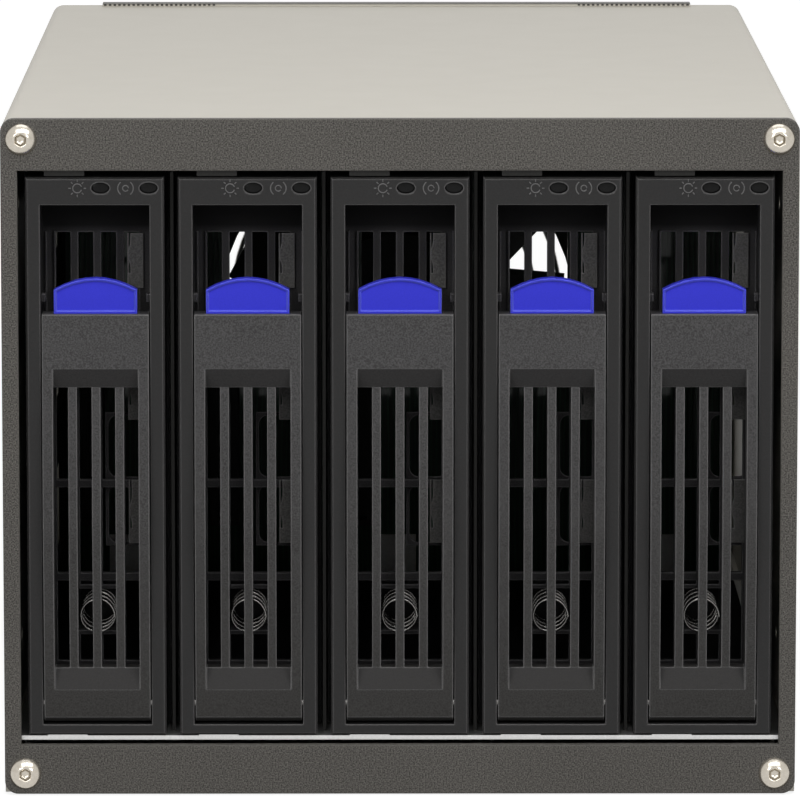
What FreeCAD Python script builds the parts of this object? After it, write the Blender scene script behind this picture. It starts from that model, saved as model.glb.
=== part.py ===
import FreeCAD, Part

import os
import re
from math import atan2, cos, pi, sin

import Sketcher

# Hot swap drive cage: five sprung-lever trays for 3.5 inch drives, standing on edge side by side in a
# folded sheet case with a backplane and a fan behind them. +X is right, +Y is to the rear, +Z is up.
# The origin is the centre of the case's bottom face. Lengths are millimetres, angles degrees.

SIZES = {
    # A 3.5 inch drive on edge, as the trays hold it
    "DriveLength": 147.0,
    "DriveWidth": 101.6,
    "DriveThickness": 26.1,
    "DriveHoleRise": 6.35,
    "DriveHoleRear": 28.5,
    "DriveHoleSpan": 101.6,
    "DriveSlotLength": 8.0,
    "DriveSlotWidth": 3.8,
    # Bays
    "BayCount": 5,
    "RunGap": 0.3,
    "RoofGap": 0.4,
    "SideGap": 0.3,
    "DividerThickness": 0.6,
    "DividerSetback": 5.0,
    "GuideThickness": 0.8,
    "RunnerHeight": 0.2,
    "RunnerWidth": 7.5,
    "RunnerShift": 5.7,
    "LegInset": 1.0,
    # Folded case
    "SheetThickness": 1.0,
    "BendRadius": 2.5,
    "SideRoom": 2.25,
    "FloorRoom": 9.8,
    "RoofRoom": 9.7,
    "FlangeHeight": 7.6,
    "FlangeWidth": 10.0,
    "SheetFit": 0.05,
    "PanelThickness": 1.0,
    "LapThickness": 0.7,
    "LapLength": 4.0,
    "LapWidth": 127.0,
    "SideHoleRadius": 1.25,
    "SideHoleFront": 47.4,
    "SideHoleSpan": 79.25,
    "SideHoleRise": 21.84,
    "SideHolePitch": 84.4,
    # Front frame
    "FrameThickness": 2.0,
    "FrameRadius": 2.5,
    "FrameSideReveal": 0.15,
    "FrameFootReveal": 1.5,
    "FrameHeadReveal": 1.0,
    "FrameScrewInset": 3.85,
    # Fasteners
    "ScrewRadius": 1.45,
    "ScrewFit": 0.15,
    "ScrewLength": 7.0,
    "DomeRadius": 3.0,
    "DomeHeight": 1.7,
    "DomeRound": 1.1,
    "SocketWidth": 2.0,
    "SocketDepth": 1.1,
    "PanRadius": 2.8,
    "PanHeight": 1.6,
    # Tray bezel
    "BezelRecess": 1.0,
    "BezelWidth": 25.9,
    "BezelDepth": 12.0,
    "BezelSide": 2.7,
    "BezelFoot": 2.0,
    "BezelHead": 5.15,
    "BezelChamfer": 0.35,
    "SnapWidth": 4.0,
    "SnapThickness": 1.0,
    "SnapBarb": 0.5,
    "SnapFit": 0.15,
    # Tray sled
    "DriveFit": 0.1,
    "RailThickness": 2.0,
    "SidePlate": 1.1,
    "FrontWall": 1.6,
    "DriveSetback": 7.0,
    "SledShort": 2.0,
    "WallSlotWidth": 2.85,
    "WallBarWidth": 1.45,
    "WallSlotFoot": 12.1,
    "WallSlotHead": 11.7,
    "WallRibHeight": 1.5,
    "WallRibFirst": 28.2,
    "WallRibPitch": 17.9,
    "SideWindowHeight": 20.0,
    "SideWindowPitch": 31.0,
    "SideWindowInset": 16.0,
    # Status light pipes
    "PipeWidth": 3.4,
    "PipeHeight": 2.1,
    "PipeFit": 0.05,
    "PipeShift": 1.1,
    "PipePitch": 9.0,
    "PipeDrop": 2.0,
    "PipeSunk": 0.5,
    "GuideStripWidth": 2.0,
    "GuideStripHeight": 0.9,
    "GuideStripBlock": 2.0,
    # Ejector lever
    "LeverWidth": 20.0,
    "LeverThickness": 5.0,
    "LeverLength": 77.4,
    "LeverBulge": 1.8,
    "LeverKinkRise": 36.8,
    "LeverFootGap": 0.6,
    "LeverFootChamfer": 0.8,
    "LeverHeadBlock": 10.2,
    "LeverHeadSlope": 3.75,
    "LeverFootBlock": 6.1,
    "LeverFootSlope": 3.95,
    "GrilleWidth": 16.0,
    "GrilleDepth": 2.0,
    "GrilleBack": 3.2,
    "GrilleBarWidth": 1.65,
    "PinRadius": 0.8,
    "PinFit": 0.05,
    "PinSeatFit": 0.02,
    "PinSet": 2.2,
    "PinRise": 3.2,
    "PinSeat": 2.0,
    # Lever spring and its cup
    "LeverSpringRise": 21.9,
    "LeverSpringRadius": 3.3,
    "LeverSpringWire": 0.5,
    "LeverSpringTurns": 4,
    "LeverSpringRuns": 8,
    "SpringGap": 0.3,
    "CupHalf": 4.0,
    "CupWall": 0.8,
    "CupEnd": 1.1,
    # Latch button and its spring
    "ButtonWidth": 15.6,
    "ButtonThickness": 2.6,
    "ButtonRise": 4.4,
    "ButtonArch": 2.2,
    "ButtonSink": 6.2,
    "ButtonFit": 0.2,
    "ButtonWallFront": 1.5,
    "ButtonRim": 0.45,
    "ButtonDish": 0.3,
    "ButtonTravel": 2.2,
    "WingReach": 0.9,
    "WingThickness": 1.0,
    "WingHeight": 2.9,
    "ButtonSpringRadius": 0.75,
    "ButtonSpringWire": 0.3,
    "ButtonSpringTurns": 3,
    "ButtonSpringRuns": 6,
    "ButtonSpringRise": 4.4,
    # Backplane
    "MateGap": 0.5,
    "ConnectorDepth": 8.0,
    "ConnectorLength": 42.0,
    "ConnectorWidth": 6.0,
    "ConnectorDrop": 20.0,
    "ConnectorRise": 4.6,
    "TongueSlotWidth": 1.6,
    "BoardThickness": 1.6,
    "BoardGap": 0.3,
    "BoardVentWidth": 15.0,
    "BoardVentTop": 10.0,
    "BoardVentHeight": 38.0,
    "BoardTabWidth": 8.0,
    "BoardTabHeight": 9.0,
    "BoardLugHeight": 4.0,
    "BoardLugRise": 3.0,
    "BoardLugReach": 1.5,
    "DataPlugLength": 16.0,
    "DataPlugWidth": 5.4,
    "DataPlugDepth": 8.5,
    "DataPlugPitch": 17.5,
    "PowerPlugLength": 21.0,
    "PowerPlugWidth": 10.6,
    "PowerPlugDepth": 9.0,
    "PowerPlugPitch": 40.0,
    "PlugWall": 1.0,
    "PlugFloor": 2.0,
    "PlugShift": 55.0,
    "CableWindowWidth": 16.0,
    "CableWindowHeight": 86.0,
    # Fan
    "PlenumDepth": 20.3,
    "FanWidth": 80.0,
    "FanDepth": 25.0,
    "FanBore": 76.0,
    "FanCorner": 4.0,
    "FanHolePitch": 71.5,
    "FanHoleRadius": 2.15,
    "FanScrewRadius": 2.0,
    "FanScrewHead": 3.4,
    "MotorRadius": 16.0,
    "MotorThickness": 3.0,
    "StrutWidth": 3.6,
    "ShaftRadius": 1.5,
    "ShaftFit": 0.05,
    "HubRadius": 17.0,
    "HubGap": 1.5,
    "BladeCount": 7,
    "BladeThickness": 1.3,
    "BladeTipGap": 1.0,
    "BladeRoot": 12.0,
    "BladeSweep": 11.0,
    "RotorTurn": -7.9,
    "GuardThickness": 1.2,
    "GuardWire": 1.6,
    "GuardCentre": 8.0,
    "GuardRingPitch": 11.0,
    "GuardRings": 2,
    "GuardEye": 8.0,
}

# Places that follow from the sizes; each may use those before it.
PLACES = {
    "SledWidth": "DriveThickness + DriveFit + SidePlate",
    "BayPitch": "SledWidth + 2*SideGap + DividerThickness",
    "BaysHalf": "BayCount*BayPitch/2",
    "CaseHalf": "BaysHalf + SideRoom + SheetThickness",
    "TrayHeight": "DriveWidth + 2*DriveFit + 2*RailThickness",
    "BayFloor": "SheetThickness + FloorRoom",
    "TrayBottom": "BayFloor + RunGap",
    "TrayTop": "TrayBottom + TrayHeight",
    "BayRoof": "TrayTop + RoofGap",
    "CaseHeight": "BayRoof + RoofRoom + SheetThickness",
    "TrayDepth": "BezelDepth + FrontWall + DriveSetback + DriveLength",
    "BackDepth": "MateGap + ConnectorDepth + BoardThickness + PlenumDepth + FanDepth",
    "CaseDepth": "BezelRecess + TrayDepth + BackDepth + PanelThickness",
    "CaseFront": "-CaseDepth/2",
    "FrameBack": "CaseFront + FrameThickness",
    "BezelFront": "CaseFront + BezelRecess",
    "BezelBack": "BezelFront + BezelDepth",
    "WallBack": "BezelBack + FrontWall",
    "DriveFront": "WallBack + DriveSetback",
    "DriveRear": "DriveFront + DriveLength",
    "SledEnd": "DriveRear - SledShort",
    "BoardFront": "DriveRear + MateGap + ConnectorDepth",
    "BoardRear": "BoardFront + BoardThickness",
    "FanFront": "BoardRear + PlenumDepth",
    "PanelFront": "FanFront + FanDepth",
    "CaseRear": "PanelFront + PanelThickness",
    "WallInside": "CaseHalf - SheetThickness",
    "PanHalf": "WallInside - SheetFit",
    "GuideHalf": "PanHalf - SheetThickness - SheetFit",
    "FrameFoot": "BayFloor - FrameFootReveal",
    "FrameHead": "BayRoof + FrameHeadReveal",
    "FrameOpenHalf": "BaysHalf + FrameSideReveal",
    "FrameScrewHalf": "CaseHalf - FrameScrewInset",
    "FrameScrewHigh": "CaseHeight - FrameScrewInset",
    "HoleRadius": "ScrewRadius + ScrewFit",
    "PanelScrewX": "WallInside - FlangeWidth/2",
    "WindowHalf": "BezelWidth/2 - BezelSide",
    "WindowFoot": "TrayBottom + BezelFoot",
    "WindowHead": "TrayTop - BezelHead",
    "SledHalf": "SledWidth/2",
    "DriveLeft": "SidePlate - SledHalf",
    "DriveMiddle": "TrayBottom + TrayHeight/2",
    "DriveHoleX": "DriveLeft + DriveFit/2 + DriveHoleRise",
    "PipeHigh": "TrayTop - PipeDrop",
    "PipeRadius": "PipeHeight/2",
    "WallPitch": "WallSlotWidth + WallBarWidth",
    "LeverBottom": "WindowFoot + LeverFootGap",
    "LeverTop": "LeverBottom + LeverLength",
    "LeverKink": "LeverBottom + LeverKinkRise",
    "LeanHigh": "LeverBulge/(LeverTop - LeverKink)",
    "LeanLow": "LeverBulge/(LeverKink - LeverBottom)",
    "HeadBlockFoot": "LeverTop - LeverHeadBlock",
    "GrilleTop": "HeadBlockFoot - LeverHeadSlope",
    "FootBlockHead": "LeverBottom + LeverFootBlock",
    "GrilleBottom": "FootBlockHead + LeverFootSlope",
    "GrilleSlot": "(GrilleWidth - 3*GrilleBarWidth)/4",
    "PinY": "BezelFront + PinSet",
    "PinZ": "LeverBottom + PinRise",
    "SpringZ": "TrayBottom + LeverSpringRise",
    "CupEndY": "DriveFront - DriveFit - CupEnd",
    "ButtonFront": "BezelFront + ButtonWallFront + ButtonFit",
    "ButtonBack": "ButtonFront + ButtonThickness",
    "ButtonFoot": "LeverTop - ButtonSink",
    "ButtonShoulder": "LeverTop + ButtonRise",
    "PocketHalf": "ButtonWidth/2 + ButtonFit",
    "PocketFoot": "ButtonFoot - ButtonTravel - ButtonFit",
    "WingFront": "ButtonFront + (ButtonThickness - WingThickness)/2",
    "ButtonSpringY": "(ButtonFront + ButtonBack)/2",
    "ButtonSpringHalf": "ButtonSpringRadius + ButtonSpringWire/2",
    "ConnectorX": "DriveLeft + ConnectorRise",
    "ConnectorZ": "DriveMiddle - ConnectorDrop",
    "BoardHalf": "BaysHalf - BoardGap",
    "BoardFoot": "BayFloor + BoardGap",
    "BoardHead": "BayRoof - BoardGap",
    "FanZ": "(BayFloor + BayRoof)/2",
    "FanHoleHalf": "FanHolePitch/2",
    "MotorFront": "PanelFront - MotorThickness",
    "HubFront": "FanFront + HubGap",
    "HubBack": "MotorFront - HubGap",
    "BladeTip": "sqrt((FanBore/2 - BladeTipGap)^2 - (BladeSweep + BladeThickness/2)^2)",
}

doc = FreeCAD.newDocument("drive_cage")
sheet = doc.addObject("Spreadsheet::Sheet", "Sizes")
for row, (name, number) in enumerate(SIZES.items(), start=1):
    sheet.set(f"A{row}", name)
    sheet.set(f"B{row}", str(number))
    sheet.setAlias(f"B{row}", name)
doc.recompute()


def bound(text):
    """Turn the plain names of sizes and places in a formula into references to their cells."""
    return re.sub(r"\b[A-Z][a-z]\w+\b", lambda word: owner(word.group(0)), text)


def owner(name):
    return f"Sizes.{name}" if name in SIZES else f"Places.{name}"


places = doc.addObject("App::VarSet", "Places")
for name, formula in PLACES.items():
    places.addProperty("App::PropertyFloat", name, "Places")
    places.setExpression(name, bound(formula))
doc.recompute()


def value(text):
    """The number that a formula of sizes and places comes to."""
    return float(sheet.evalExpression(bound(text)))


def minus(text):
    return f"-({text})"


# Sketches, pads and pockets. Every shape is a closed list of points (x, y); a third entry makes the run
# to the next point an arc of that radius, counterclockwise where it is positive.


def rectangle(left, right, low, high):
    return [(left, low), (right, low), (right, high), (left, high)]


def square(x, y, half):
    return rectangle(f"{x} - {half}", f"{x} + {half}", f"{y} - {half}", f"{y} + {half}")


def rounded(left, right, low, high, radius):
    return [
        (f"{left} + {radius}", low),
        (f"{right} - {radius}", low, radius),
        (right, f"{low} + {radius}"),
        (right, f"{high} - {radius}", radius),
        (f"{right} - {radius}", high),
        (f"{left} + {radius}", high, radius),
        (left, f"{high} - {radius}"),
        (left, f"{low} + {radius}", radius),
    ]


def oval(x, y, width, height):
    """A level slot whose round ends are drawn in five straight runs each."""
    half = f"({width} - {height})/2"
    radius = f"({height})/2"
    turns = [36*step - 90 for step in range(6)]
    right = [(f"{x} + {half} + {radius}*cos({turn})", f"{y} + {radius}*sin({turn})") for turn in turns]
    left = [(f"{x} - {half} - {radius}*cos({turn})", f"{y} - {radius}*sin({turn})") for turn in turns]
    return right + left


def sided(x, y, radius, sides):
    """A polygon of equal sides round a circle of the radius."""
    turns = [(360*side + 180)/sides for side in range(sides)]
    corner = f"({radius})/cos({180/sides})"
    return [(f"{x} + {corner}*cos({turn})", f"{y} + {corner}*sin({turn})") for turn in turns]


def disc(x, y, radius):
    return (x, y, radius)


def draw_disc(sketch, shape):
    x, y, radius = shape
    centre = FreeCAD.Vector(value(x), value(y), 0)
    curve = sketch.addGeometry(Part.Circle(centre, FreeCAD.Vector(0, 0, 1), value(radius)), False)
    pin_point(sketch, curve, 3, x, y, centre)
    index = sketch.addConstraint(Sketcher.Constraint("Radius", curve, value(radius)))
    sketch.setExpression(f"Constraints[{index}]", bound(radius))


def pin_point(sketch, curve, end, x, y, point):
    for kind, text, number in (("DistanceX", x, point.x), ("DistanceY", y, point.y)):
        index = sketch.addConstraint(Sketcher.Constraint(kind, -1, 1, curve, end, number))
        sketch.setExpression(f"Constraints[{index}]", bound(text))


def arc_between(start, end, radius):
    """The counterclockwise arc of a radius from one point to another, as the shorter of the two."""
    chord = end - start
    middle = (start + end) * 0.5
    height = max(radius * radius - (chord.Length / 2) ** 2, 0) ** 0.5
    centre = middle + FreeCAD.Vector(-chord.y, chord.x, 0).normalize() * height
    circle = Part.Circle(centre, FreeCAD.Vector(0, 0, 1), radius)
    first = atan2(start.y - centre.y, start.x - centre.x)
    last = atan2(end.y - centre.y, end.x - centre.x)
    return Part.ArcOfCircle(circle, first, last if last > first else last + 2 * pi)


def draw_outline(sketch, shape):
    points = [FreeCAD.Vector(value(corner[0]), value(corner[1]), 0) for corner in shape]
    runs = []
    for index, corner in enumerate(shape):
        start = points[index]
        end = points[(index + 1) % len(points)]
        radius = value(corner[2]) if len(corner) == 3 else 0
        if radius > 0:
            geometry = sketch.addGeometry(arc_between(start, end, radius), False)
            runs.append((geometry, 1, 2))
        elif radius < 0:
            geometry = sketch.addGeometry(arc_between(end, start, -radius), False)
            runs.append((geometry, 2, 1))
        else:
            geometry = sketch.addGeometry(Part.LineSegment(start, end), False)
            runs.append((geometry, 1, 2))
    for index, (geometry, first, last) in enumerate(runs):
        following, following_first, _ = runs[(index + 1) % len(runs)]
        sketch.addConstraint(Sketcher.Constraint("Coincident", geometry, last, following, following_first))
        pin_point(sketch, geometry, first, shape[index][0], shape[index][1], points[index])
        if len(shape[index]) == 3:
            fix_arc(sketch, geometry, shape[index][2], points[(index + 1) % len(points)] - points[index])


def fix_arc(sketch, curve, radius, chord):
    """Give an arc its radius, or where its ends already set that, level its middle with them."""
    size = abs(value(radius))
    if abs(chord.Length - 2*size) < 1e-6:
        level = "Vertical" if abs(chord.x) < abs(chord.y) else "Horizontal"
        sketch.addConstraint(Sketcher.Constraint(level, curve, 1, curve, 3))
        return
    index = sketch.addConstraint(Sketcher.Constraint("Radius", curve, size))
    sketch.setExpression(f"Constraints[{index}]", bound(f"abs({radius})"))


def sketch_on(body, plane, place, shapes):
    """A sketch of closed shapes, parallel to one of the body's own planes at a place along its axis."""
    sketch = body.newObject("Sketcher::SketchObject", "Sketch")
    support = [item for item in body.Origin.OriginFeatures if item.Role == f"{plane}_Plane"]
    sketch.AttachmentSupport = [(support[0], "")]
    sketch.MapMode = "FlatFace"
    sketch.setExpression("AttachmentOffset.Base.z", bound(minus(place) if plane == "XZ" else place))
    for shape in shapes:
        if isinstance(shape, tuple):
            draw_disc(sketch, shape)
        else:
            draw_outline(sketch, shape)
    sketch.Visibility = False
    return sketch


def add(body, plane, low, high, *shapes):
    """Pad the shapes from low to high along the plane's axis."""
    feature = body.newObject("PartDesign::Pad", "Pad")
    feature.Profile = sketch_on(body, plane, high if plane == "XZ" else low, shapes)
    feature.setExpression("Length", bound(f"({high}) - ({low})"))
    return feature


def cut(body, plane, low, high, *shapes):
    """Pocket the shapes out from low to high along the plane's axis."""
    feature = body.newObject("PartDesign::Pocket", "Pocket")
    feature.Profile = sketch_on(body, plane, low if plane == "XZ" else high, shapes)
    feature.setExpression("Length", bound(f"({high}) - ({low})"))
    return feature


def chamfer(body, size, chosen):
    """Chamfer the edges of the body so far that pass a test."""
    doc.recompute()
    base = body.Tip
    names = [f"Edge{number}" for number, edge in enumerate(base.Shape.Edges, start=1) if chosen(edge)]
    feature = body.newObject("PartDesign::Chamfer", "Chamfer")
    feature.Base = (base, names)
    feature.setExpression("Size", bound(size))
    return feature


def near(number, text):
    return abs(number - value(text)) < 1e-4


def on_front(edge, place):
    """Whether an edge lies in the plane y = place."""
    return near(edge.BoundBox.YMin, place) and near(edge.BoundBox.YMax, place)


def new_body(label):
    body = doc.addObject("PartDesign::Body", label)
    body.Label = label
    return body


def copy_of(source, x="0", y="0", z="0", turned=None):
    link = doc.addObject("App::Link", "Copy")
    link.LinkedObject = source
    if turned:
        link.Placement = FreeCAD.Placement(FreeCAD.Vector(), FreeCAD.Rotation(*turned))
    for axis, text in (("x", x), ("y", y), ("z", z)):
        link.setExpression(f"Placement.Base.{axis}", bound(text))
    return link


def group(label, members):
    compound = doc.addObject("Part::Compound", label)
    compound.Label = label
    compound.Links = members
    return compound


def coil(label, sizes, start, finish, placed):
    """An open compression spring of square wire in straight runs; placed puts (across, across, along)."""
    radius, wire, turns, runs = [value(sizes + part) for part in ("Radius", "Wire", "Turns", "Runs")]
    steps = int(turns * runs)
    points = []
    for step in range(steps + 1):
        angle = 2 * pi * step / runs
        along = start + (finish - start) * step / steps
        points.append(placed(radius * cos(angle), radius * sin(angle), along))
    first = points[1] - points[0]
    upward = first.cross(placed(1, 0, 0) - placed(0, 0, 0)).normalize()
    outward = upward.cross(first).normalize()
    corners = [(-1, -1), (1, -1), (1, 1), (-1, 1), (-1, -1)]
    section = [points[0] + (outward * a + upward * b) * (wire / 2) for a, b in corners]
    sweep = Part.BRepOffsetAPI.MakePipeShell(Part.makePolygon(points))
    sweep.setTransitionMode(1)
    sweep.add(Part.makePolygon(section), False, False)
    sweep.build()
    sweep.makeSolid()
    spring = doc.addObject("Part::Feature", label)
    spring.Label = label
    spring.Shape = sweep.shape()
    return spring


nodes = []
BAYS = range(1, round(value("BayCount")) + 1)


def bay_x(bay):
    return f"({bay} - (BayCount + 1)/2)*BayPitch"


# Front frame: a powder-coated plate with one opening for all trays and four corner screws.
frame = new_body("front_frame")
add(frame, "XZ", "CaseFront", "FrameBack",
    rounded("-CaseHalf", "CaseHalf", "0", "CaseHeight", "FrameRadius"))
cut(frame, "XZ", "CaseFront", "FrameBack",
    rectangle("-FrameOpenHalf", "FrameOpenHalf", "FrameFoot", "FrameHead"))
frame_screw_x = ("-FrameScrewHalf", "FrameScrewHalf")
cut(frame, "XZ", "CaseFront", "FrameBack", *[
    sided(x, z, "HoleRadius", 8) for x in frame_screw_x for z in ("FrameScrewInset", "FrameScrewHigh")])
nodes.append(frame)

# Top cover: one sheet folded into a roof and two sides, with a front flange and two rear flanges.
cover = new_body("top_cover")
inner_bend = "(BendRadius - SheetThickness)"
roof_under = "(CaseHeight - SheetThickness)"
add(cover, "XZ", "FrameBack", "PanelFront", [
    ("CaseHalf", "0"),
    ("CaseHalf", "CaseHeight - BendRadius", "BendRadius"),
    ("CaseHalf - BendRadius", "CaseHeight"),
    ("BendRadius - CaseHalf", "CaseHeight", "BendRadius"),
    ("-CaseHalf", "CaseHeight - BendRadius"),
    ("-CaseHalf", "0"),
    ("-WallInside", "0"),
    ("-WallInside", "CaseHeight - BendRadius", minus(inner_bend)),
    ("BendRadius - CaseHalf", roof_under),
    ("CaseHalf - BendRadius", roof_under, minus(inner_bend)),
    ("WallInside", "CaseHeight - BendRadius"),
    ("WallInside", "0"),
])
add(cover, "XZ", "FrameBack", "FrameBack + SheetThickness",
    rectangle("BendRadius - CaseHalf", "CaseHalf - BendRadius", f"{roof_under} - FlangeHeight", roof_under))
rear_flange_low = "FlangeWidth + FlangeHeight"
rear_flange_high = "CaseHeight - FlangeWidth - FlangeHeight"
add(cover, "XZ", "PanelFront - SheetThickness", "PanelFront",
    rectangle("-WallInside", "FlangeWidth - WallInside", rear_flange_low, rear_flange_high),
    rectangle("WallInside - FlangeWidth", "WallInside", rear_flange_low, rear_flange_high))
cut(cover, "XZ", "FrameBack", "FrameBack + SheetThickness", *[
    sided(x, "FrameScrewHigh", "HoleRadius", 8) for x in frame_screw_x])
panel_screw_x = ("-PanelScrewX", "PanelScrewX")
panel_screw_high = f"{rear_flange_high} - FlangeWidth/2"
panel_screw_low = "SheetThickness + FlangeHeight/2"
cut(cover, "XZ", "PanelFront - SheetThickness", "PanelFront", *[
    sided(x, panel_screw_high, "HoleRadius", 8) for x in panel_screw_x])
cut(cover, "YZ", "-CaseHalf", "CaseHalf", *[
    disc(f"FrameBack + SideHoleFront + {column}*SideHoleSpan", f"SideHoleRise + {row}*SideHolePitch",
         "SideHoleRadius")
    for column in range(2) for row in range(2)])
nodes.append(cover)

# Base pan: the floor of the case, with flanges up inside the cover's sides and at both ends.
pan = new_body("base_pan")
flange_top = "SheetThickness + FlangeHeight"
add(pan, "XY", "0", "SheetThickness", rectangle("-PanHalf", "PanHalf", "FrameBack", "PanelFront"))
add(pan, "XY", "SheetThickness", flange_top,
    rectangle("-PanHalf", "SheetThickness - PanHalf", "FrameBack", "PanelFront"),
    rectangle("PanHalf - SheetThickness", "PanHalf", "FrameBack", "PanelFront"))
for low, high in (("FrameBack", "FrameBack + SheetThickness"), ("PanelFront - SheetThickness", "PanelFront")):
    add(pan, "XY", "SheetThickness", flange_top,
        rectangle("SheetThickness - PanHalf", "PanHalf - SheetThickness", low, high))
cut(pan, "XZ", "FrameBack", "FrameBack + SheetThickness", *[
    sided(x, "FrameScrewInset", "HoleRadius", 8) for x in frame_screw_x])
cut(pan, "XZ", "PanelFront - SheetThickness", "PanelFront", *[
    sided(x, panel_screw_low, "HoleRadius", 8) for x in panel_screw_x])
nodes.append(pan)


# Guides: zinc-plated plates over and under the bays, with a raised runner for each tray, legs that stand
# off the case, and tabs at the rear whose lugs carry the backplane. The runners reach the front frame.
def guide(label, inner, inward, front):
    """A guide plate; inner is the face towards the trays, and inward is 1 where the trays are above it."""
    body = new_body(label)
    outer = f"({inner} - {inward}*GuideThickness)"
    wall = "SheetThickness" if inward > 0 else roof_under
    back = "BoardFront - GuideThickness"
    leg = "(GuideHalf - LegInset)"
    add(body, "XY", *ordered(inner, outer), rectangle("-GuideHalf", "GuideHalf", front, "BoardFront"))
    add(body, "XY", *ordered(outer, wall),
        rectangle(minus(leg), f"GuideThickness - {leg}", "BezelBack", "BoardFront"),
        rectangle(f"{leg} - GuideThickness", leg, "BezelBack", "BoardFront"))
    add(body, "XY", *ordered(outer, f"{inner} + {inward}*RunnerHeight"), *[
        rectangle(f"{bay_x(bay)} - RunnerShift - RunnerWidth/2",
                  f"{bay_x(bay)} - RunnerShift + RunnerWidth/2", "FrameBack", "SledEnd")
        for bay in BAYS])
    add(body, "XY", *ordered(inner, f"{inner} + {inward}*BoardTabHeight"), *[
        rectangle(f"{x} - BoardTabWidth/2", f"{x} + BoardTabWidth/2", back, "BoardFront")
        for x in board_lug_x])
    low, high = lug_span(inner, inward, "0")
    add(body, "XY", low, high, *[
        rectangle(f"{x} - BoardTabWidth/4", f"{x} + BoardTabWidth/4", back, "BoardRear + BoardLugReach")
        for x in board_lug_x])
    return body


def ordered(one, other):
    return (one, other) if value(one) < value(other) else (other, one)


def lug_span(inner, inward, room):
    """The lowest and highest points of a lug, with room on both sides."""
    near_end = f"{inner} + {inward}*BoardLugRise"
    low, high = ordered(near_end, f"{near_end} + {inward}*BoardLugHeight")
    return f"{low} - {room}", f"{high} + {room}"


board_lug_x = (bay_x(BAYS[0]), bay_x((BAYS[0] + BAYS[-1])/2), bay_x(BAYS[-1]))
guide_faces = (("BayFloor", 1), ("BayRoof", -1))
nodes.append(guide("floor_guide", *guide_faces[0], "FrameBack"))
nodes.append(guide("roof_guide", *guide_faces[1], "BezelBack"))

# Bay dividers: thin sheets between neighbouring bays, from the floor guide to the roof guide.
divider = new_body("divider")
add(divider, "YZ", "-DividerThickness/2", "DividerThickness/2",
    rectangle("FrameBack + DividerSetback", "SledEnd", "BayFloor", "BayRoof"))
side_windows = [
    rectangle("DriveFront + SideWindowInset", "DriveRear - SideWindowInset",
              f"DriveMiddle + {row}*SideWindowPitch - SideWindowHeight/2",
              f"DriveMiddle + {row}*SideWindowPitch + SideWindowHeight/2")
    for row in (-1, 0, 1)]
cut(divider, "YZ", "-DividerThickness/2", "DividerThickness/2", *side_windows)
nodes.append(group("bay_dividers", [copy_of(divider, x=f"{bay_x(bay)} + BayPitch/2") for bay in BAYS[:-1]]))


# Trays: a bezel snapped onto a sled, with light pipes, a sprung lever on a pin and a latch button.
def tray_bezel():
    body = new_body("tray_bezel")
    add(body, "XZ", "BezelFront", "BezelBack",
        rectangle("-BezelWidth/2", "BezelWidth/2", "TrayBottom", "TrayTop"))
    chamfer(body, "BezelChamfer", lambda edge: on_front(edge, "BezelFront"))
    cut(body, "XZ", "BezelFront", "BezelBack",
        rectangle("-WindowHalf", "WindowHalf", "WindowFoot", "WindowHead"))
    cut(body, "XZ", "BezelFront", "BezelBack", *[
        oval(x, "PipeHigh", "(PipeWidth + 2*PipeFit)", "(PipeHeight + 2*PipeFit)") for x in pipe_x])
    cut(body, "YZ", "-WindowHalf - PinSeat", "WindowHalf + PinSeat",
        sided("PinY", "PinZ", "PinRadius + PinSeatFit", 8))
    for root in snap_roots:
        add(body, "YZ", "-SnapWidth/2", "SnapWidth/2", [
            ("BezelBack - FrontWall", root),
            ("WallBack + SnapThickness", root),
            ("WallBack + SnapThickness", f"{root} + SnapThickness"),
            ("WallBack + SnapFit", f"{root} + SnapThickness + SnapBarb"),
            ("WallBack + SnapFit", f"{root} + SnapThickness"),
            ("BezelBack - FrontWall", f"{root} + SnapThickness"),
        ])
    return body


pipe_x = [f"PipeShift + {side}*PipePitch" for side in range(2)]
snap_roots = ("TrayBottom + RailThickness + SnapFit", "WindowHead + SnapFit")


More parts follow.
